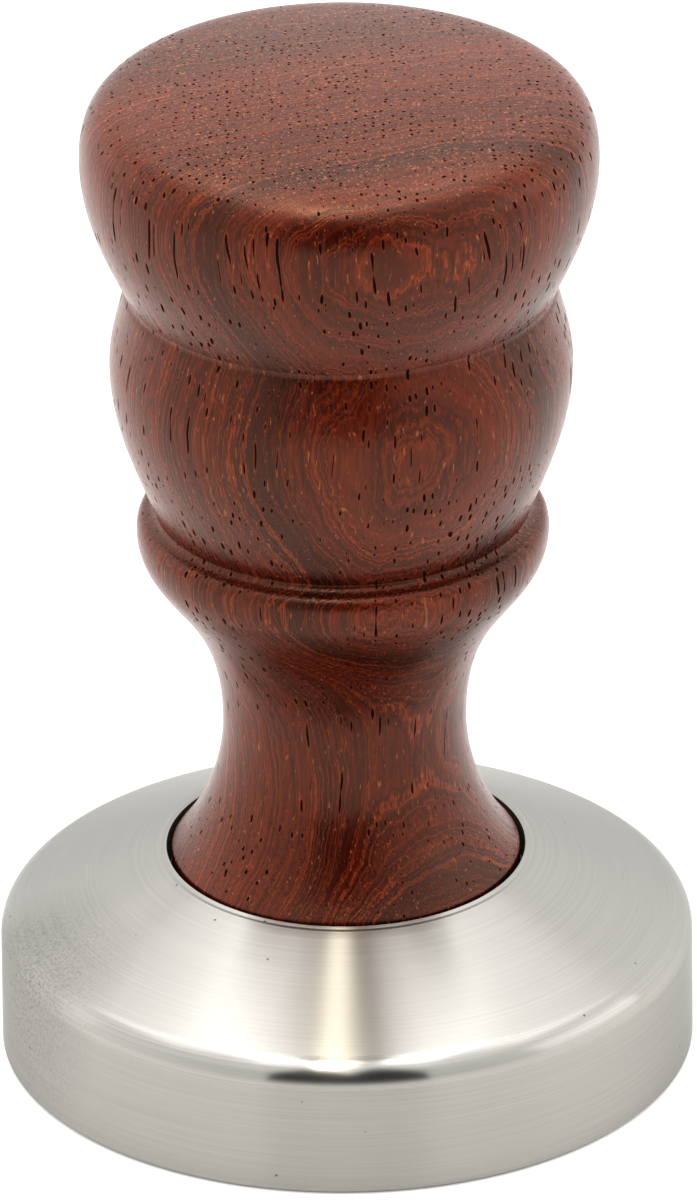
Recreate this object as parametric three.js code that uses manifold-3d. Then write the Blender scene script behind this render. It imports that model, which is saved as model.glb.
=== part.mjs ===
// Espresso tamper: a turned hardwood handle screwed onto a solid stainless base.
// Millimetres, +Z up along the tamper's axis, origin at the centre of the tamping face.

import * as THREE from 'three';
import { mergeVertices } from 'three/addons/utils/BufferGeometryUtils.js';
import Module from 'manifold-3d';

const wasm = await Module();
wasm.setup();

// ---------------------------------------------------------------- driving dimensions

const BASE_RADIUS = 29; // a 58 mm base fits the common 58 mm filter basket
const WALL_TOP = 9.65; // where the straight wall meets the rolled shoulder
const SHOULDER_RADIUS = 2.5;
const CONE_ANGLE = THREE.MathUtils.degToRad(25.5); // the cone's slope above level
const EDGE_BREAK = 0.3; // small bevels that take the sharpness off turned edges

const RECESS_RADIUS = 15;
const RECESS_FLOOR = 14.8;
const RIM_BREAK = 0.15;

const WASHER_THICKNESS = 0.8;
const WASHER_BORE_RADIUS = 4.2;
const WASHER_RADIUS = 12;

const FOOT_RADIUS = 14.4;
const SEAT_GAP = 0.02; // running clearance above and below the washer
const HANDLE_TOP = 88.2;

const THREAD_RADIUS = 4; // M8
const THREAD_PITCH = 1.25;
const THREAD_CLEARANCE = 0.1; // between the stud and the threads that it runs in
const STUD_BOTTOM = 3;
const STUD_LENGTH = 25;
const STUD_HOLE_BOTTOM = 2.6; // leaves a plain steel floor above the tamping face
const HEX_SOCKET_ACROSS_FLATS = 4;
const HEX_SOCKET_DEPTH = 4;

const INSERT_RADIUS = 6;
const INSERT_LENGTH = 12.5;
const INSERT_BARBS = 5;
const BARB_DEPTH = 0.5;
const POCKET_CLEARANCE = 0.1; // the glue line between the insert and the wood

const ROUND_SEGMENTS = 48;
const THREAD_SEGMENTS = 20; // facets in one turn of a thread
const CURVE_POINTS = 6; // straight stretches in each curve of an outline

const WASHER_BOTTOM = RECESS_FLOOR + SEAT_GAP;
const WASHER_TOP = WASHER_BOTTOM + WASHER_THICKNESS;
const FOOT_BOTTOM = WASHER_TOP + SEAT_GAP;
const STUD_TOP = STUD_BOTTOM + STUD_LENGTH;
const INSERT_BOTTOM = FOOT_BOTTOM + EDGE_BREAK; // sits just inside the foot
const INSERT_TOP = INSERT_BOTTOM + INSERT_LENGTH;

// ---------------------------------------------------------------- helpers

// Turns an outline of (radius, height) points about the Z axis.
function turned(outline, segments = ROUND_SEGMENTS) {
  const geometry = new THREE.LatheGeometry(outline, segments);
  geometry.rotateX(Math.PI / 2);
  return geometry;
}

// A closed geometry as a solid that can be joined to others and cut by them.
function solid(geometry) {
  const bare = geometry.clone();
  bare.deleteAttribute('normal');
  bare.deleteAttribute('uv');
  const welded = mergeVertices(bare);
  const corners = welded.index.array;
  const triVerts = [];
  for (let i = 0; i < corners.length; i += 3) {
    const [a, b, c] = corners.slice(i, i + 3);
    if (a !== b && b !== c && c !== a) triVerts.push(a, b, c);
  }
  return new wasm.Manifold(new wasm.Mesh({
    numProp: 3,
    vertProperties: welded.attributes.position.array,
    triVerts: new Uint32Array(triVerts),
  }));
}

function geometryOf(body) {
  const mesh = body.getMesh();
  const geometry = new THREE.BufferGeometry();
  geometry.setAttribute('position', new THREE.BufferAttribute(mesh.vertProperties, 3));
  geometry.setIndex(new THREE.BufferAttribute(mesh.triVerts, 1));
  geometry.computeVertexNormals();
  return geometry;
}

// The centre line of a thread's ridge. Its section stays square to the screw's axis all the way.
class ScrewPath extends THREE.Curve {
  constructor(radius, start, turns) {
    super();
    Object.assign(this, { radius, start, turns });
  }

  getPoint(t, target = new THREE.Vector3()) {
    const angle = t * this.turns * 2 * Math.PI;
    const height = this.start + t * this.turns * THREAD_PITCH;
    return target.set(this.radius * Math.cos(angle), this.radius * Math.sin(angle), height);
  }

  computeFrenetFrames(steps) {
    const frames = { tangents: [], normals: [], binormals: [] };
    for (let i = 0; i <= steps; i++) {
      const angle = (i / steps) * this.turns * 2 * Math.PI;
      frames.tangents.push(this.getTangent(i / steps));
      frames.normals.push(new THREE.Vector3(Math.cos(angle), Math.sin(angle), 0));
      frames.binormals.push(new THREE.Vector3(0, 0, -1));
    }
    return frames;
  }
}

// A right-hand threaded rod between two heights. With a clearance it is the cutter for the thread
// that the rod runs in. Every thread starts on a whole pitch, so all of them mesh at rest.
function threadedRod(bottom, top, clearance) {
  const depth = 0.61 * THREAD_PITCH; // 60 degree metric thread
  const rootRadius = THREAD_RADIUS - depth + clearance;
  const crest = THREAD_PITCH / 16 + clearance / 2;
  const root = crest + depth * Math.tan(Math.PI / 6);
  const sunk = 0.15; // how far the ridge starts inside the core
  const ridge = new THREE.Shape([
    new THREE.Vector2(-sunk, -root),
    new THREE.Vector2(0, -root),
    new THREE.Vector2(depth, -crest),
    new THREE.Vector2(depth, crest),
    new THREE.Vector2(0, root),
    new THREE.Vector2(-sunk, root),
  ]);
  const firstTurn = Math.floor(bottom / THREAD_PITCH) - 1;
  const turns = Math.ceil(top / THREAD_PITCH) + 1 - firstTurn;
  const path = new ScrewPath(rootRadius, firstTurn * THREAD_PITCH, turns);
  const steps = turns * THREAD_SEGMENTS;
  const helix = new THREE.ExtrudeGeometry(ridge, { steps, extrudePath: path });

  const tip = clearance > 0 ? 0 : depth; // a rod has bevelled ends and a cutter has square ones
  const reach = THREAD_RADIUS + clearance + 0.05;
  const envelope = turned([
    new THREE.Vector2(0, bottom),
    new THREE.Vector2(reach - tip, bottom),
    new THREE.Vector2(reach, bottom + tip),
    new THREE.Vector2(reach, top - tip),
    new THREE.Vector2(reach - tip, top),
    new THREE.Vector2(0, top),
  ], THREAD_SEGMENTS);
  const core = turned([
    new THREE.Vector2(0, bottom - THREAD_PITCH),
    new THREE.Vector2(rootRadius, bottom - THREAD_PITCH),
    new THREE.Vector2(rootRadius, top + THREAD_PITCH),
    new THREE.Vector2(0, top + THREAD_PITCH),
  ], THREAD_SEGMENTS);
  return solid(core).add(solid(helix)).intersect(solid(envelope));
}

// ---------------------------------------------------------------- base

// The solid steel piston, with the recess for the handle's foot and the threaded hole for the stud.
function makeBase() {
  const arcCentre = BASE_RADIUS - SHOULDER_RADIUS;
  const arcEnd = Math.PI / 2 - CONE_ANGLE;
  const coneFoot = arcCentre + SHOULDER_RADIUS * Math.cos(arcEnd);
  const coneStart = WALL_TOP + SHOULDER_RADIUS * Math.sin(arcEnd);
  const rimRadius = RECESS_RADIUS + RIM_BREAK;
  const rimHeight = coneStart + (coneFoot - rimRadius) * Math.tan(CONE_ANGLE);

  const outline = new THREE.Path();
  outline.moveTo(0, 0);
  outline.lineTo(BASE_RADIUS - EDGE_BREAK, 0);
  outline.lineTo(BASE_RADIUS, EDGE_BREAK);
  outline.lineTo(BASE_RADIUS, WALL_TOP);
  outline.absarc(arcCentre, WALL_TOP, SHOULDER_RADIUS, 0, arcEnd, false);
  outline.lineTo(rimRadius, rimHeight);
  outline.lineTo(RECESS_RADIUS, rimHeight - RIM_BREAK);
  outline.lineTo(RECESS_RADIUS, RECESS_FLOOR);
  outline.lineTo(0, RECESS_FLOOR);

  const body = solid(turned(outline.getPoints(CURVE_POINTS)));
  const hole = threadedRod(STUD_HOLE_BOTTOM, RECESS_FLOOR + THREAD_PITCH, THREAD_CLEARANCE);
  return geometryOf(body.subtract(hole));
}

// ---------------------------------------------------------------- stud

// A set screw: threaded from end to end, with a hexagon socket in its top.
function makeStud() {
  const socketRadius = HEX_SOCKET_ACROSS_FLATS / Math.sqrt(3);
  const socket = new THREE.CylinderGeometry(socketRadius, socketRadius, 2 * HEX_SOCKET_DEPTH, 6);
  socket.rotateX(Math.PI / 2);
  socket.translate(0, 0, STUD_TOP);
  return geometryOf(threadedRod(STUD_BOTTOM, STUD_TOP, 0).subtract(solid(socket)));
}

// ---------------------------------------------------------------- washer

function makeWasher() {
  return turned([
    new THREE.Vector2(WASHER_BORE_RADIUS, WASHER_BOTTOM),
    new THREE.Vector2(WASHER_RADIUS, WASHER_BOTTOM),
    new THREE.Vector2(WASHER_RADIUS, WASHER_TOP),
    new THREE.Vector2(WASHER_BORE_RADIUS, WASHER_TOP),
    new THREE.Vector2(WASHER_BORE_RADIUS, WASHER_BOTTOM),
  ]);
}

// ---------------------------------------------------------------- threaded insert

// A brass sleeve with saw-tooth barbs outside, which hold it in the wood, and the stud's thread inside.
function makeInsert() {
  const rootRadius = INSERT_RADIUS - BARB_DEPTH;
  const barbLength = INSERT_LENGTH / INSERT_BARBS;
  const outline = [new THREE.Vector2(0, INSERT_BOTTOM)];
  for (let barb = 0; barb < INSERT_BARBS; barb++) {
    const start = INSERT_BOTTOM + barb * barbLength;
    outline.push(new THREE.Vector2(rootRadius, start));
    outline.push(new THREE.Vector2(INSERT_RADIUS, start + 0.2 * barbLength));
  }
  outline.push(new THREE.Vector2(rootRadius, INSERT_TOP));
  outline.push(new THREE.Vector2(0, INSERT_TOP));
  const bore = threadedRod(INSERT_BOTTOM - THREAD_PITCH, INSERT_TOP + THREAD_PITCH, THREAD_CLEARANCE);
  return geometryOf(solid(turned(outline)).subtract(bore));
}

// ---------------------------------------------------------------- handle

// The turned handle in one outline, from its pocket round the foot and up to the crown.
function makeHandle() {
  const pocketRadius = INSERT_RADIUS + POCKET_CLEARANCE;
  const pocketTop = INSERT_TOP + 2 * POCKET_CLEARANCE;
  const outline = new THREE.Path();
  outline.moveTo(0, pocketTop);
  outline.lineTo(pocketRadius, pocketTop);
  outline.lineTo(pocketRadius, FOOT_BOTTOM);
  outline.lineTo(FOOT_RADIUS - EDGE_BREAK, FOOT_BOTTOM);
  outline.lineTo(FOOT_RADIUS, FOOT_BOTTOM + EDGE_BREAK);
  outline.lineTo(FOOT_RADIUS, 18.1);
  // The foot's flare runs into the waist, and the waist swells into the bead.
  outline.bezierCurveTo(12.55, 19.95, 10.15, 24.5, 10.15, 29.8);
  outline.bezierCurveTo(10.15, 41.2, 17.3, 42.5, 17.05, 48);
  // Over the bead's rounded ridge and in along its ledge to the lower groove.
  outline.bezierCurveTo(17, 49.3, 16.4, 50.1, 15.75, 50.35);
  // The bulge between the two grooves.
  outline.bezierCurveTo(16.6, 52.6, 19.2, 57.4, 19.2, 62.6);
  outline.bezierCurveTo(19.2, 65.2, 18.15, 67.6, 17.85, 69.9);
  // The cap swells out of the upper groove, turns over its shoulder and ends in a shallow crown.
  outline.bezierCurveTo(19, 72.6, 21.45, 76.6, 21.45, 81.4);
  outline.bezierCurveTo(21.45, 85.7, 19.5, 86.7, 16.5, 87.1);
  outline.bezierCurveTo(11, 87.8, 5.5, HANDLE_TOP, 0, HANDLE_TOP);
  return turned(outline.getPoints(CURVE_POINTS));
}

// ---------------------------------------------------------------- assembly

const rosewood = new THREE.MeshStandardMaterial({ color: '#6e3426', roughness: 0.35, metalness: 0 });
const steel = new THREE.MeshStandardMaterial({ color: '#c2c1be', roughness: 0.35, metalness: 1 });
const zincPlate = new THREE.MeshStandardMaterial({ color: '#9fa2a6', roughness: 0.4, metalness: 1 });
const brass = new THREE.MeshStandardMaterial({ color: '#b5933f', roughness: 0.35, metalness: 1 });
const rubber = new THREE.MeshStandardMaterial({ color: '#141414', roughness: 0.8, metalness: 0 });

const tamper = new THREE.Group();

function addPart(name, geometry, material) {
  const mesh = new THREE.Mesh(geometry, material);
  mesh.name = name;
  tamper.add(mesh);
}

addPart('base', makeBase(), steel);
addPart('stud', makeStud(), zincPlate);
addPart('washer', makeWasher(), rubber);
addPart('threaded_insert', makeInsert(), brass);
addPart('handle', makeHandle(), rosewood);

export default tamper;
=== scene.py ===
"""Espresso tamper: the fine surfaces and materials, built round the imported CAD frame.

The outlines are half sections, (radius, height) in millimetres, turned about the tamper's Z axis.
"""

import math

import bpy
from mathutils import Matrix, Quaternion, Vector


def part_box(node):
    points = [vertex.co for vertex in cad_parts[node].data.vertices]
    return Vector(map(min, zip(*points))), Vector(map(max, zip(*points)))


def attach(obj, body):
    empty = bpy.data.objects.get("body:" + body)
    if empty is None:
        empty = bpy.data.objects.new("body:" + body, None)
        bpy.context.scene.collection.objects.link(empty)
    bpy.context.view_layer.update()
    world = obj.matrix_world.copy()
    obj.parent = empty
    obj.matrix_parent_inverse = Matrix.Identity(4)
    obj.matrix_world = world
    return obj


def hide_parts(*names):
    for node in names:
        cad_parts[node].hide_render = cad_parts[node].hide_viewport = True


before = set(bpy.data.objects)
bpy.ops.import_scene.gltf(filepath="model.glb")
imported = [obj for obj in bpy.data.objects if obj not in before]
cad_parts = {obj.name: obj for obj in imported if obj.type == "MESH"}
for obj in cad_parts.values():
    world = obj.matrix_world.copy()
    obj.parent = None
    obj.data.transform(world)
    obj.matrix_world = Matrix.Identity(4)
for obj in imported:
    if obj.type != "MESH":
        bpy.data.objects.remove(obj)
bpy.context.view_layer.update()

MM = 0.001
TAU = 2 * math.pi


def box_mm(node):
    """A CAD node's lowest and highest corner, in millimetres."""
    low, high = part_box(node)
    return low / MM, high / MM


BASE_HIGH = box_mm("base")[1]
STUD_LOW, STUD_HIGH = box_mm("stud")
WASHER_LOW, WASHER_HIGH = box_mm("washer")
INSERT_LOW, INSERT_HIGH = box_mm("threaded_insert")
HANDLE_LOW, HANDLE_HIGH = box_mm("handle")

# Base
WALL_TOP = 9.65
SHOULDER_RADIUS = 2.5
CONE_ANGLE = math.radians(25.5)
RECESS_RADIUS = 15.0
RECESS_FLOOR = 14.8
STUD_HOLE_BOTTOM = 2.6

# Handle
FOOT_RADIUS = 14.6
FOOT_EDGE = 0.3
POCKET_CLEARANCE = 0.1

# M8 thread, shared by the stud, the insert and the base
PITCH = 1.25
THREAD_DEPTH = 0.61 * PITCH
THREAD_RADIUS = STUD_HIGH.x
THREAD_CLEARANCE = 0.1
THREAD_ROWS = 14  # rows of vertices in one pitch


# ---------------------------------------------------------------- outlines


def curve(start, leave, arrive, end, steps=32):
    """A cubic Bezier curve between two points, without its first point."""
    points = []
    for i in range(1, steps + 1):
        t = i / steps
        weights = ((1 - t) ** 3, 3 * t * (1 - t) ** 2, 3 * t * t * (1 - t), t ** 3)
        corners = (start, leave, arrive, end)
        points.append(tuple(sum(w * c[k] for w, c in zip(weights, corners)) for k in (0, 1)))
    return points


def arc(centre, radius, first, last, steps=24):
    """Points along an arc, angles in radians."""
    angles = [first + (last - first) * i / steps for i in range(steps + 1)]
    return [(centre[0] + radius * math.cos(a), centre[1] + radius * math.sin(a)) for a in angles]


def evenly_spaced(points, gap):
    """The same outline with a point about every gap millimetres."""
    spaced = [points[0]]
    for (r0, z0), (r1, z1) in zip(points, points[1:]):
        steps = max(1, math.ceil(math.dist((r0, z0), (r1, z1)) / gap))
        for i in range(1, steps + 1):
            spaced.append((r0 + (r1 - r0) * i / steps, z0 + (z1 - z0) * i / steps))
    return spaced


def eased(points, gap, passes):
    """Rounds an outline's corners as sanding does, by averaging neighbouring points."""
    points = evenly_spaced(points, gap)
    for _ in range(passes):
        middle = [
            tuple((a[k] + 2 * b[k] + c[k]) / 4 for k in (0, 1))
            for a, b, c in zip(points, points[1:], points[2:])
        ]
        points = [points[0], *middle, points[-1]]
    return points


def thinned(points, most_turn=math.radians(3), most_gap=2.0):
    """Drops points where the outline is nearly straight."""
    kept = [points[0]]
    heading = None
    for here, after in zip(points[1:], points[2:]):
        direction = math.atan2(after[1] - here[1], after[0] - here[0])
        if heading is None:
            heading = math.atan2(here[1] - kept[-1][1], here[0] - kept[-1][0])
        turn = abs((direction - heading + math.pi) % TAU - math.pi)
        if turn > most_turn or math.dist(here, kept[-1]) > most_gap:
            kept.append(here)
            heading = direction
    return [*kept, points[-1]]


def base_outline():
    """From the centre of the tamping face up the wall and the cone to the recess floor."""
    radius = BASE_HIGH.x
    edge_break = 0.25
    arc_end = math.pi / 2 - CONE_ANGLE
    shoulder = arc((radius - SHOULDER_RADIUS, WALL_TOP), SHOULDER_RADIUS, 0, arc_end)
    outer = [(0, 0), (radius - edge_break, 0), (radius, edge_break), *shoulder]
    rim = BASE_HIGH.z
    groove = [(RECESS_RADIUS + 0.7, rim - 0.26), (RECESS_RADIUS + 0.35, rim - 0.30)]
    lip = [(RECESS_RADIUS + 0.04, rim - 0.12), (RECESS_RADIUS, rim - 0.17)]
    recess = [(RECESS_RADIUS, RECESS_FLOOR), (THREAD_RADIUS + 0.5, RECESS_FLOOR)]
    return thinned(eased([*outer, *groove, *lip, *recess], gap=0.05, passes=2))


def handle_outline():
    """From the top of the insert's pocket round the foot and up to the crown."""
    pocket_radius = INSERT_HIGH.x + POCKET_CLEARANCE
    pocket_top = INSERT_HIGH.z + 2 * POCKET_CLEARANCE
    bottom = HANDLE_LOW.z
    crown = HANDLE_HIGH.z
    widest = HANDLE_HIGH.x
    points = [
        (0, pocket_top),
        (pocket_radius, pocket_top),
        (pocket_radius, bottom),
        (FOOT_RADIUS - FOOT_EDGE, bottom),
        (FOOT_RADIUS, bottom + FOOT_EDGE),
        (FOOT_RADIUS, 17.7),
    ]
    for leave, arrive, end in (
        ((12.55, 19.95), (10.15, 24.5), (10.15, 29.8)),  # foot to waist
        ((10.15, 41.2), (17.3, 42.3), (17.15, 47.6)),  # waist to bead
        ((17.1, 48.4), (16.85, 48.85), (16.35, 49.0)),  # the bead's rounded top
        ((16.0, 49.1), (15.65, 49.3), (15.6, 49.65)),  # lower groove, a small cove
        ((16.6, 52.5), (19.2, 57.4), (19.2, 62.6)),  # bulge
        ((19.2, 65.2), (18.35, 67.3), (17.95, 69.2)),  # bulge to upper groove
        ((17.75, 69.5), (17.7, 69.9), (17.95, 70.2)),  # upper groove
        ((19.05, 72.6), (widest, 76.6), (widest, 81.4)),  # cap
        ((widest, 85.7), (19.5, 86.7), (16.5, 87.1)),  # shoulder
        ((11, 87.8), (5.5, crown), (0, crown)),  # crown
    ):
        points += curve(points[-1], leave, arrive, end)
    return thinned(eased(points, gap=0.1, passes=3))


# ---------------------------------------------------------------- meshes


def ring(radius, height, columns):
    """One ring of points. radius may be a number or a rule of the angle."""
    points = []
    for i in range(columns):
        angle = TAU * i / columns
        r = radius(angle) if callable(radius) else radius
        points.append((r * math.cos(angle) * MM, r * math.sin(angle) * MM, height * MM))
    return points


def skin(name, rings, closed=False):
    """A mesh over a stack of rings. It ends in a point at each end, unless it closes on itself."""
    columns = len(rings[0])
    vertices = [point for one in rings for point in one]
    faces = []
    pairs = list(zip(range(len(rings)), range(1, len(rings))))
    if closed:
        pairs.append((len(rings) - 1, 0))
    for low, high in pairs:
        here, above = low * columns, high * columns
        for i in range(columns):
            j = (i + 1) % columns
            faces.append((here + i, here + j, above + j, above + i))
    if not closed:
        for row, order in ((0, -1), (len(rings) - 1, 1)):
            pole = len(vertices)
            vertices.append((0, 0, rings[row][0][2]))
            for i in range(columns):
                pair = (row * columns + i, row * columns + (i + 1) % columns)[::order]
                faces.append((*pair, pole))
    mesh = bpy.data.meshes.new(name)
    mesh.from_pydata(vertices, [], faces)
    mesh.polygons.foreach_set("use_smooth", [True] * len(mesh.polygons))
    mesh.set_sharp_from_angle(angle=math.radians(50))
    piece = bpy.data.objects.new(name, mesh)
    bpy.context.scene.collection.objects.link(piece)
    return piece


def turned_rings(outline, columns):
    """An outline turned about the axis. No ring is quite on it, so no face is without area."""
    smallest = 0.01
    return [ring(max(r, smallest), z, columns) for r, z in outline]


def thread_rings(bottom, top, columns, clearance=0.0):
    """Rings up a right-hand M8 thread: a rod with bevelled ends, or a bore if it has clearance.

    A bore's mouths are opened out.
    """
    root = THREAD_RADIUS - THREAD_DEPTH + clearance
    rows = round((top - bottom) / PITCH * THREAD_ROWS)
    rings = []
    for row in range(rows + 1):
        height = bottom + (top - bottom) * row / rows
        from_end = min(height - bottom, top - height)

        def radius(angle, height=height, from_end=from_end):
            phase = (height / PITCH - angle / TAU + 0.5) % 1 - 0.5
            # 1 on the crest, 0 in the root, and a straight flank between them
            share = min(1, max(0, 1.12 - 2.3 * abs(phase)))
            depth = THREAD_DEPTH * share
            if clearance:
                depth = max(depth, THREAD_DEPTH - from_end)
            else:
                depth = min(depth, from_end)
            return root + depth

        rings.append(ring(radius, height, columns))
    return rings


def hexagon(across_flats):
    """The rule for a hexagon's radius at an angle."""
    sector = TAU / 6
    return lambda angle: across_flats / 2 / math.cos((angle + sector / 2) % sector - sector / 2)


def make_base():
    """The piston, with the stud's threaded hole in the floor of its recess."""
    columns = 240
    rings = turned_rings(base_outline(), columns)
    mouth = RECESS_FLOOR - 0.02  # just under the floor's own ring
    bore = thread_rings(STUD_HOLE_BOTTOM, mouth, columns, THREAD_CLEARANCE)
    return skin("steel_base", rings + bore[::-1])


def make_stud():
    """The set screw, with a hexagon socket in its upper end."""
    columns = 96
    bottom, top = STUD_LOW.z, STUD_HIGH.z
    flats, socket_depth = 4.0, 4.0
    mouth_radius, mouth_flats, mouth_depth = 2.6, 4.25, 0.15
    rings = thread_rings(bottom, top, columns)
    rings.append(ring(mouth_radius, top, columns))
    rings.append(ring(hexagon(mouth_flats), top, columns))
    rings.append(ring(hexagon(flats), top - mouth_depth, columns))
    rings.append(ring(hexagon(flats), top - socket_depth, columns))
    return skin("set_screw", rings)


def make_washer():
    """A flat ring with its four edges rounded."""
    inner = 4.2
    corners = [
        (inner, WASHER_LOW.z),
        (WASHER_HIGH.x, WASHER_LOW.z),
        (WASHER_HIGH.x, WASHER_HIGH.z),
        (inner, WASHER_HIGH.z),
    ]
    edge = 0.12
    section = []
    for i, (r, z) in enumerate(corners):
        side = 1 if i in (1, 2) else -1
        end = 1 if i in (2, 3) else -1
        centre = (r - side * edge, z - end * edge)
        first = (-math.pi, -math.pi / 2, 0, math.pi / 2)[i]
        section += arc(centre, edge, first, first + math.pi / 2, steps=4)
    return skin("rubber_washer", turned_rings(section, 128), closed=True)


def make_insert():
    """The brass sleeve: knurled bands between grooves outside, the stud's thread inside."""
    columns = 192
    outer, bottom, top = INSERT_HIGH.x, INSERT_LOW.z, INSERT_HIGH.z
    bands = 5
    band = (top - bottom) / bands
    knurls = 48
    # Rings of one band: the share of its height, how far in, and how deep the knurling is
    rows = ((0.0, 0.5, 0), (0.2, 0.0, 0.1), (0.6, 0.15, 0.1), (0.96, 0.5, 0))
    rings = []
    for i in range(bands):
        start = bottom + i * band
        for share, inset, rough in rows:

            def radius(angle, inset=inset, rough=rough):
                return outer - inset - rough * (0.5 - 0.5 * math.cos(knurls * angle))

            rings.append(ring(radius, start + share * band, columns))
    rings.append(ring(outer - 0.6, top, columns))
    bore = thread_rings(bottom, top, columns, THREAD_CLEARANCE)
    return skin("brass_insert", rings + bore[::-1], closed=True)


def make_handle():
    """The handle in one piece, with the insert's pocket up its middle."""
    return skin("turned_handle", turned_rings(handle_outline(), 256))


# ---------------------------------------------------------------- material helpers


class Shader:
    """A material and short calls that add nodes to it. An input may be a number or a node."""

    def __init__(self, name):
        self.material = bpy.data.materials.new(name)
        self.material.use_nodes = True
        self.tree = self.material.node_tree
        self.surface = self.tree.nodes["Principled BSDF"]
        coordinates = self.add("TexCoord").outputs["Object"]
        # The place on the piece, in millimetres
        self.place = self.add("VectorMath", coordinates, 1 / MM, operation="SCALE")
        self.x, self.y, self.z = self.add("SeparateXYZ", self.place).outputs

    def feed(self, socket, value):
        """Sets a socket to a number or a colour, or links a node or another socket to it."""
        if isinstance(value, bpy.types.Node):
            value = next(o for o in value.outputs if o.enabled)
        if isinstance(value, bpy.types.NodeSocket):
            self.tree.links.new(value, socket)
        elif socket.type == "RGBA":
            socket.default_value = (*value, 1)
        else:
            socket.default_value = value

    def add(self, kind, *inputs, named=None, **settings):
        """A node of that kind. Inputs go to its sockets in order, or by name."""
        node = self.tree.nodes.new("ShaderNode" + kind)
        for key, value in settings.items():
            setattr(node, key, value)
        sockets = [s for s in node.inputs if s.enabled]
        for socket, value in zip(sockets, inputs):
            self.feed(socket, value)
        for key, value in (named or {}).items():
            self.feed(next(s for s in sockets if s.name == key), value)
        return node

    def math(self, operation, *inputs):
        """A sum or another rule of one or more numbers."""
        return self.add("Math", *inputs, operation=operation)

    def stretched(self, x, y, z):
        """The place with its axes multiplied."""
        return self.add("VectorMath", self.place, (x, y, z), operation="MULTIPLY")

    def noise(self, vector, detail=2.0, roughness=0.5):
        """Soft random values through space, one lump about every unit of the vector."""
        named = {"Scale": 1.0, "Detail": detail, "Roughness": roughness}
        return self.add("TexNoise", vector, named=named)

    def noise_along(self, distance, detail=2.0, roughness=0.5):
        """The same along one distance."""
        named = {"Scale": 1.0, "Detail": detail, "Roughness": roughness}
        return self.add("TexNoise", distance, named=named, noise_dimensions="1D")

    def spread(self, value, low, high, to_low=0.0, to_high=1.0):
        """The value's range low..high carried to another range, and held at its ends."""
        return self.add("MapRange", value, low, high, to_low, to_high)

    def mix(self, share, first, second, blend="MIX"):
        """Two colours mixed, all second where the share is 1."""
        return self.add("Mix", share, first, second, data_type="RGBA", blend_type=blend)

    def ramp(self, value, stops):
        """Colours along a value, from (value, colour) stops."""
        low, high = stops[0][0], stops[-1][0]
        node = self.add("ValToRGB", self.spread(value, low, high))
        elements = node.color_ramp.elements
        elements[0].color = (*stops[0][1], 1)
        elements[-1].color = (*stops[-1][1], 1)
        for at, colour in stops[1:-1]:
            elements.new((at - low) / (high - low)).color = (*colour, 1)
        return node

    def surface_inputs(self, **inputs):
        """Feeds the surface's sockets, named with underscores for spaces."""
        for key, value in inputs.items():
            self.feed(self.surface.inputs[key.replace("_", " ")], value)

    def bump(self, height, depth_mm):
        """Raises the surface by up to that depth where the height is 1."""
        named = {"Strength": 1.0, "Distance": depth_mm * MM, "Height": height}
        self.feed(self.surface.inputs["Normal"], self.add("Bump", named=named))


# ---------------------------------------------------------------- materials


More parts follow.
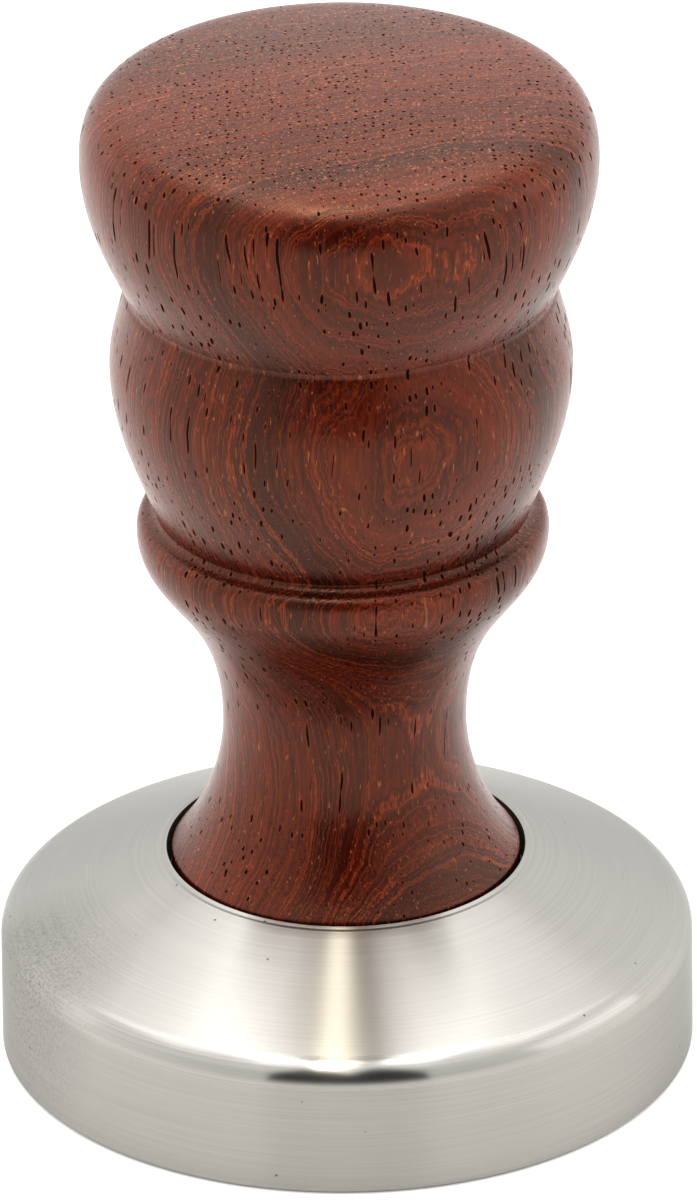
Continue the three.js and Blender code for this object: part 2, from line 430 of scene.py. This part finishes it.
def hardwood():
    """Oiled rosewood: upright growth layers, with open pores along the grain."""
    wood = Shader("oiled_rosewood")

    # Distance through the growth layers. They twist a little round the axis down the neck.
    facing = wood.spread(wood.z, 22, 46, math.radians(-42), math.radians(-18.7))
    turned = wood.add("VectorRotate", wood.place, named={"Angle": facing}, rotation_type="Z_AXIS")
    depth = wood.math("MULTIPLY", wood.add("SeparateXYZ", turned).outputs["Y"], -1)
    sways = ((0.045, 0.02, 5.0), (0.16, 0.06, 1.8), (0.6, 0.3, 0.5), (1.8, 1.1, 0.22))
    for across, along, reach in sways:
        sway = wood.noise(wood.stretched(across, across, along), detail=1)
        depth = wood.math("ADD", depth, wood.spread(sway, 0, 1, -reach / 2, reach / 2))

    colour = wood.ramp(depth, (
        (-22, (0.086, 0.013, 0.005)),
        (-8, (0.062, 0.009, 0.004)),
        (-5, (0.115, 0.017, 0.006)),
        (4, (0.110, 0.016, 0.006)),
        (8, (0.088, 0.013, 0.005)),
        (11.5, (0.094, 0.014, 0.005)),
        (12.7, (0.045, 0.007, 0.004)),
        (14.8, (0.055, 0.009, 0.004)),
        (15.6, (0.108, 0.016, 0.006)),
        (18, (0.108, 0.016, 0.006)),
        (22, (0.088, 0.013, 0.005)),
    ))

    # Fibres along the grain
    fibres = wood.noise(wood.stretched(4, 4, 0.22), detail=5, roughness=0.7)
    shade = wood.ramp(fibres, ((0.3, (0.4,) * 3), (0.7, (1.65,) * 3)))
    colour = wood.mix(1.0, colour, shade, "MULTIPLY")

    # Thin orange and dark lines along the layers, strong in patches
    uneven = wood.noise_along(wood.math("MULTIPLY", depth, 0.9))
    turns = wood.math("MULTIPLY_ADD", uneven, 2.5, depth)
    turns = wood.math("MULTIPLY_ADD", fibres, 0.4, turns)
    wave = wood.math("SINE", wood.math("MULTIPLY", turns, 2.0 * TAU))
    patches = wood.spread(wood.noise(wood.stretched(0.14, 0.14, 0.08)), 0.4, 0.62, 0.45, 0.9)
    orange = wood.math("MULTIPLY", wood.spread(wave, 0.88, 1.0), patches)
    colour = wood.mix(orange, colour, (0.26, 0.05, 0.012))
    dark = wood.math("MULTIPLY", wood.spread(wave, -0.4, -1.0), 0.6)
    colour = wood.mix(dark, colour, (0.026, 0.006, 0.004))

    # Short orange flecks, thickest on the end grain
    upright = wood.add("SeparateXYZ", wood.add("TexCoord").outputs["Normal"]).outputs["Z"]
    end_grain = wood.spread(wood.math("ABSOLUTE", upright), 0.75, 1.0)
    colour = wood.mix(wood.math("MULTIPLY", end_grain, 0.2), colour, (0.015, 0.009, 0.007))
    flecks = wood.noise(wood.stretched(4.2, 4.2, 0.9), detail=2)
    fleck = wood.spread(wood.math("MULTIPLY_ADD", end_grain, 0.065, flecks), 0.665, 0.725, 0, 0.7)
    colour = wood.mix(fleck, colour, (0.38, 0.14, 0.055))

    # Pores: narrow tubes along the grain with a paler rim, in loose clusters that thin out
    # toward the foot, a few of them filled
    sway = wood.noise(wood.stretched(0.03, 0.03, 0.04), detail=4).outputs["Color"]
    flat = wood.stretched(1, 1, 0)
    tube = wood.add("VectorMath", sway, (5, 5, 0), flat, operation="MULTIPLY_ADD")
    cells = wood.add("TexVoronoi", tube, named={"Scale": 1.3}, voronoi_dimensions="2D")
    chance, filled, _ = wood.add("SeparateColor", cells.outputs["Color"]).outputs
    clusters = wood.spread(wood.noise(wood.stretched(0.15, 0.15, 0.04)), 0.35, 0.65, -0.3, 0.3)
    clusters = wood.math("ADD", clusters, wood.spread(wood.z, 16, 60, -0.25, 0.15))
    size = wood.spread(wood.math("ADD", chance, clusters), 0.15, 1.1, -0.02, 0.175)
    from_wall = wood.math("SUBTRACT", cells.outputs["Distance"], size)
    rim = wood.spread(from_wall, 0.02, 0.09, 0.5, 0)
    colour = wood.mix(rim, colour, (0.24, 0.048, 0.015))
    pore = wood.spread(from_wall, -0.03, 0.02, 1, 0)
    is_filled = wood.spread(filled, 0.97, 0.98)
    # The pores are real, but the near-black of an open pore is painted shade inside the hole;
    # filled pores keep their own paler colour
    colour = wood.mix(pore, colour, wood.mix(is_filled, (0.025, 0.005, 0.004), (0.22, 0.08, 0.035)))
    hole_with_painted_shade = wood.math("MULTIPLY", pore, wood.math("SUBTRACT", 1, is_filled))

    # Open pores get a dull, dark-metal surface: painted shade that takes the gloss out of each
    # hole, standing in for the shade deep inside it
    gloss = wood.math("MULTIPLY_ADD", end_grain, 0.08, wood.spread(fibres, 0.3, 0.7, 0.15, 0.28))
    wood.surface_inputs(
        Base_Color=colour,
        Metallic=wood.math("MULTIPLY", hole_with_painted_shade, 0.75),
        Roughness=wood.add("Mix", hole_with_painted_shade, gloss, 0.8),
        Specular_IOR_Level=0.75,
        Specular_Tint=(1.0, 0.67, 0.53),
    )
    relief = wood.math("MULTIPLY_ADD", fibres, 0.6, wood.math("MULTIPLY", wave, 0.06))
    wood.bump(wood.math("SUBTRACT", relief, hole_with_painted_shade), 0.06)
    return wood.material


def turned_metal(name, colour, roughness, burnished=None, worn_at=None):
    """Metal with the fine marks of turning: one height all round at each radius and level.

    burnished is the (lowest, highest) level, in millimetres, of a band smoother than the rest.
    worn_at is the middle of a dull, speckled patch.
    """
    metal = Shader(name)
    radius = metal.add("VectorMath", metal.stretched(1, 1, 0), operation="LENGTH")
    across = metal.math("MULTIPLY", metal.math("SUBTRACT", metal.z, radius), 9)
    along = metal.stretched(0.04, 0.04, 0)
    marks = metal.add("VectorMath", along, metal.add("CombineXYZ", 0, 0, across), operation="ADD")
    height = metal.noise(marks, detail=3, roughness=0.6)
    # The marks' lighter and darker rings in the colour are painted sheen, the light the cut grooves
    # catch, laid over their real small bump
    shade = metal.ramp(height, ((0.3, (0.92,) * 3), (0.7, (1.08,) * 3)))
    tone = metal.mix(1.0, colour, shade, "MULTIPLY")
    dullness = metal.spread(height, 0.3, 0.7, roughness - 0.02, roughness + 0.02)
    if burnished:
        low, high = burnished
        above = metal.spread(metal.z, low, low + 0.3)
        below = metal.spread(metal.z, high + 0.2, high)
        dullness = metal.add("Mix", metal.math("MULTIPLY", above, below), dullness, 0.2)
    if worn_at:
        away = metal.add("VectorMath", metal.place, worn_at, operation="DISTANCE").outputs["Value"]
        near = metal.spread(away, 2, 12, 0.8, 0)
        grime = metal.noise(metal.stretched(4, 4, 4), detail=4, roughness=0.7)
        worn = metal.math("MULTIPLY", near, metal.spread(grime, 0.45, 0.7))
        tone = metal.mix(worn, tone, (0.22, 0.21, 0.19))
        dullness = metal.add("Mix", metal.spread(away, 6, 12, 1, 0), dullness, 0.45)
        cells = metal.add("TexVoronoi", metal.place, named={"Scale": 0.28})
        specks = metal.spread(cells.outputs["Distance"], 0.02, 0.04, 0.7, 0)
        tone = metal.mix(specks, tone, (0.06, 0.05, 0.04))
    metal.surface_inputs(
        Base_Color=tone,
        Metallic=1.0,
        Roughness=dullness,
        Specular_Tint=(0.7, 0.7, 0.7),
        Anisotropic=0.95,
        Anisotropic_Rotation=0.25,
        Tangent=metal.add("Tangent", direction_type="RADIAL", axis="Z"),
    )
    metal.bump(height, 0.0008)
    return metal.material


def rubber():
    """Black rubber with a fine grain."""
    black = Shader("black_rubber")
    grain = black.noise(black.stretched(3, 3, 3), detail=3)
    black.surface_inputs(
        Base_Color=black.ramp(grain, ((0.35, (0.012,) * 3), (0.65, (0.022,) * 3))),
        Roughness=black.spread(grain, 0.3, 0.7, 0.5, 0.7),
    )
    black.bump(grain, 0.01)
    return black.material


# ---------------------------------------------------------------- stage


def backdrop(name, radius, azimuths, bottom, top, steps=28):
    """Part of a sphere round the tamper, in degrees. top is its upper edge at each azimuth."""
    vertices = []
    for i in range(steps + 1):
        across = azimuths[0] + (azimuths[1] - azimuths[0]) * i / steps
        for j in range(steps + 1):
            elevation = math.radians(bottom + (top(across) - bottom) * j / steps)
            azimuth = math.radians(across)
            flat = radius * math.cos(elevation)
            x, y = flat * math.sin(azimuth), -flat * math.cos(azimuth)
            vertices.append((x, y, radius * math.sin(elevation)))
    row = steps + 1
    faces = [
        (i * row + j, (i + 1) * row + j, (i + 1) * row + j + 1, i * row + j + 1)
        for i in range(steps) for j in range(steps)
    ]
    mesh = bpy.data.meshes.new(name)
    mesh.from_pydata(vertices, [], faces)
    card = bpy.data.objects.new(name, mesh)
    bpy.context.scene.collection.objects.link(card)
    return card


def add_floor():
    """A plain white floor, a hair under the tamper."""
    mesh = bpy.data.meshes.new("floor")
    reach = 6
    level = -0.02 * MM
    corners = [(-reach, -reach), (reach, -reach), (reach, reach), (-reach, reach)]
    mesh.from_pydata([(x, y, level) for x, y in corners], [], [(0, 1, 2, 3)])
    floor = bpy.data.objects.new("floor", mesh)
    bpy.context.scene.collection.objects.link(floor)
    white = Shader("white_floor")
    white.surface_inputs(
        Base_Color=(0.62, 0.62, 0.62),
        Roughness=0.9,
        Emission_Color=(1, 1, 1),
        Emission_Strength=0.26,
    )
    # It can't be seen from below, so the tamping face can
    clear = white.add("BsdfTransparent")
    below = white.add("NewGeometry").outputs["Backfacing"]
    both = white.add("MixShader", below, white.surface, clear)
    white.feed(white.tree.nodes["Material Output"].inputs["Surface"], both)
    floor.data.materials.append(white.material)


def add_dark_card():
    """The unlit side of the room, where the camera and its operator stand."""

    def top(across):
        return 55 - 0.15 * (abs(across) - 12) ** 2

    card = backdrop("dark_card", 0.6, (-25, 25), 2, top)
    card.visible_camera = False
    grey = Shader("dark_card")
    grey.surface_inputs(Base_Color=(0.01, 0.01, 0.01), Roughness=1.0)
    card.data.materials.append(grey.material)


def add_softbox(name, centre, width, height, brightness, colour=(1, 1, 1), aimed=True):
    """A soft light that faces the tamper, or straight down if it is not aimed. Sizes in metres."""
    light = bpy.data.lights.new(name, "AREA")
    light.shape = "RECTANGLE"
    light.size = width
    light.size_y = height
    light.energy = brightness * math.pi * width * height
    light.color = colour
    box = bpy.data.objects.new(name, light)
    box.location = centre
    box.rotation_mode = "QUATERNION"
    if aimed:
        box.rotation_quaternion = box.location.to_track_quat("Z", "Y")
    box.visible_camera = False
    bpy.context.scene.collection.objects.link(box)


def add_world():
    """A white room, dimmer low down on the camera's side and brightest overhead."""
    world = bpy.data.worlds.new("white_room")
    world.use_nodes = True
    nodes, links = world.node_tree.nodes, world.node_tree.links
    direction = nodes.new("ShaderNodeTexCoord")
    parts = nodes.new("ShaderNodeSeparateXYZ")
    links.new(direction.outputs["Generated"], parts.inputs[0])
    brightness = nodes.new("ShaderNodeMath")
    brightness.operation = "MAXIMUM"
    rules = (("Y", -0.75, -0.1, 0.78, 1.0), ("Z", 0.55, 0.85, 0.78, 1.1))
    for i, (axis, *limits) in enumerate(rules):
        limited = nodes.new("ShaderNodeMapRange")
        links.new(parts.outputs[axis], limited.inputs[0])
        for socket, limit in zip(limited.inputs[1:5], limits):
            socket.default_value = limit
        links.new(limited.outputs[0], brightness.inputs[i])
    links.new(brightness.outputs[0], nodes["Background"].inputs["Strength"])
    nodes["Background"].inputs["Color"].default_value = (1, 1, 1, 1)
    bpy.context.scene.world = world


def add_camera():
    """A long lens, a little above the tamper and tilted to suit its lean."""
    data = bpy.data.cameras.new("camera")
    data.sensor_width = 36
    data.lens = 577
    data.clip_start = 0.1
    data.clip_end = 20
    camera = bpy.data.objects.new("camera", data)
    bpy.context.scene.collection.objects.link(camera)
    elevation = math.radians(26.86)
    distance = 1.6
    back = Vector((0, -math.cos(elevation), math.sin(elevation)))
    up = Vector((0, math.sin(elevation), math.cos(elevation)))
    target = Vector((0.41, 0, 40)) * MM + up * 0.40 * MM
    camera.rotation_mode = "QUATERNION"
    roll = Quaternion((0, 0, 1), math.radians(-0.55))
    camera.rotation_quaternion = back.to_track_quat("Z", "Y") @ roll
    camera.location = target + back * distance
    bpy.context.scene.camera = camera
    bpy.context.scene.view_settings.view_transform = "Standard"
    bpy.context.scene.view_settings.look = "High Contrast"


# ---------------------------------------------------------------- scene


def place(piece, node, body, material):
    """Stands a finished piece in for its CAD node."""
    piece.data.materials.append(material)
    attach(piece, body)
    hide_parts(node)


add_camera()
stainless = turned_metal(
    "turned_stainless", (0.44, 0.43, 0.405), 0.30, burnished=(WALL_TOP, 11.9), worn_at=(-27, -10, 9)
)
plate = turned_metal("zinc_plate", (0.62, 0.63, 0.65), 0.3)
brass = turned_metal("brass", (0.72, 0.5, 0.2), 0.3)
place(make_base(), "base", "base", stainless)
place(make_stud(), "stud", "base", plate)
place(make_washer(), "washer", "washer", rubber())
place(make_insert(), "threaded_insert", "handle", brass)
place(make_handle(), "handle", "handle", hardwood())

add_floor()
add_dark_card()
# A bright box overhead on each side of the handle, a warm strip in front of it, a dimmer box
# outside each bright one, and a low box at each side
add_softbox("main_left", (-0.135, 0.1, 0.6), 0.12, 0.55, 2.2, aimed=False)
add_softbox("main_right", (0.125, 0.1, 0.6), 0.115, 0.55, 2.4, aimed=False)
add_softbox("strip_above_camera", (-0.032, -0.19, 0.56), 0.065, 0.26, 8.6, colour=(1.0, 0.95, 0.8))
add_softbox("left_overhead", (-0.3, 0.22, 0.6), 0.22, 0.55, 0.6, aimed=False)
add_softbox("right_overhead", (0.32, 0.22, 0.6), 0.2, 0.55, 0.5, aimed=False)
add_softbox("left_softbox", (-0.6, 0.25, 0.25), 0.5, 0.3, 0.3)
add_softbox("right_softbox", (0.6, -0.05, 0.25), 0.5, 0.3, 0.4)
add_world()
